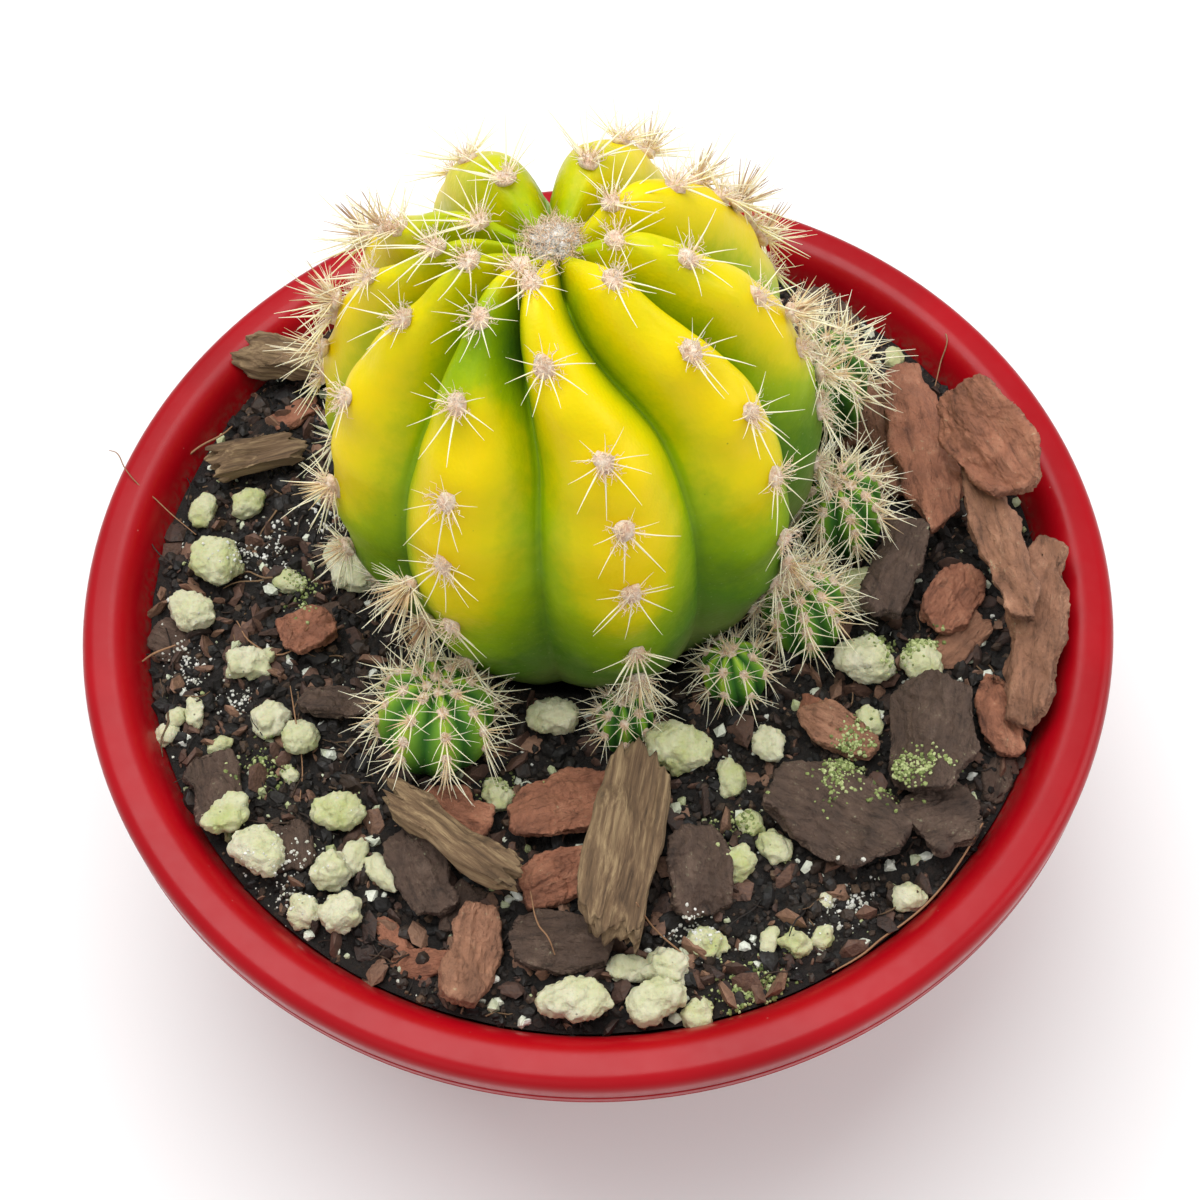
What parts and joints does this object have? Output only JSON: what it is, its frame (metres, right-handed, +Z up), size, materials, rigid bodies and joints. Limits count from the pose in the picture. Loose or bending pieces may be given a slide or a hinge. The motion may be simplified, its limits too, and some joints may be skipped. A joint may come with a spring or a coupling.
{
  "type": "potted cactus",
  "caption": "Ribbed round cactus with small offsets, growing in a squat red plastic pot dressed with bark chips and perlite.",
  "frame": {"origin": "middle of the flat foot of the pot, on the surface it stands on", "axes": "+Z up; -Y is the front, the side the plant is seen from; +X to the right seen from the front"},
  "size_m": [0.17, 0.17, 0.162],
  "materials": {
    "red_plastic": "glossy red moulded plastic",
    "potting_mix": "near-black crumbly potting mix",
    "stem_skin": "waxy yellow-green cactus skin",
    "offset_skin": "green skin of the young offsets",
    "wool": "grey-beige wool",
    "bark_red": "red-brown pine bark",
    "bark_brown": "brown pine bark",
    "bark_dark": "dark weathered bark",
    "wood_fibre": "fibrous weathered wood",
    "perlite": "off-white porous perlite",
    "perlite_green": "perlite tinted green by algae"
  },
  "bodies": {
    "root": {"pot": "red_plastic", "potting_mix": "potting_mix", "stem": "stem_skin", "crown_wool": "wool", "offset_front_left": "offset_skin", "offset_front": "offset_skin", "offset_front_right": "offset_skin", "offset_right_front": "offset_skin", "offset_right": "offset_skin", "offset_right_back": "offset_skin", "offset_back_right": "offset_skin", "offset_back_left": "offset_skin", "slab_wall_low": "bark_brown", "slab_wall_top": "bark_red", "chip_right_red": "bark_red", "perlite_by_stem": "perlite", "perlite_front_oval": "perlite", "perlite_front_long": "perlite", "perlite_green_tall": "perlite_green", "perlite_right_pair": "perlite", "perlite_left_round": "perlite_green", "perlite_left_block": "perlite", "perlite_left_low": "perlite_green", "perlite_left_green": "perlite_green", "perlite_left_wall": "perlite", "perlite_cluster_top": "perlite", "perlite_cluster_low": "perlite", "perlite_white_tall": "perlite", "perlite_green_wide": "perlite_green", "perlite_green_cluster": "perlite_green", "perlite_back": "perlite", "slab_twisted": "bark_brown", "slab_back_red": "bark_red", "slab_back_brown": "bark_brown", "chip_right_mid_dark": "bark_dark", "chip_right_mid_red": "bark_red", "chip_right_big": "bark_dark", "chip_right_round": "bark_dark", "chip_right_strip": "bark_brown", "chip_mossy": "bark_dark", "chip_right_wedge": "bark_dark", "chip_front_dark": "bark_dark", "chip_front_under": "bark_red", "chip_front_grey": "bark_dark", "chip_front_strip": "bark_brown", "chip_front_red": "bark_red", "plate_front": "bark_red", "stick_front": "wood_fibre", "slab_fibrous_front": "wood_fibre", "stick_left_back": "wood_fibre", "twig_left": "wood_fibre", "chip_left_dark": "bark_dark", "chip_left_red": "bark_red", "chip_left_grey": "bark_dark", "chip_back_mossy": "bark_dark", "chip_back_plate": "bark_red", "chip_back_strip": "bark_brown"}
  },
  "joints": []
}
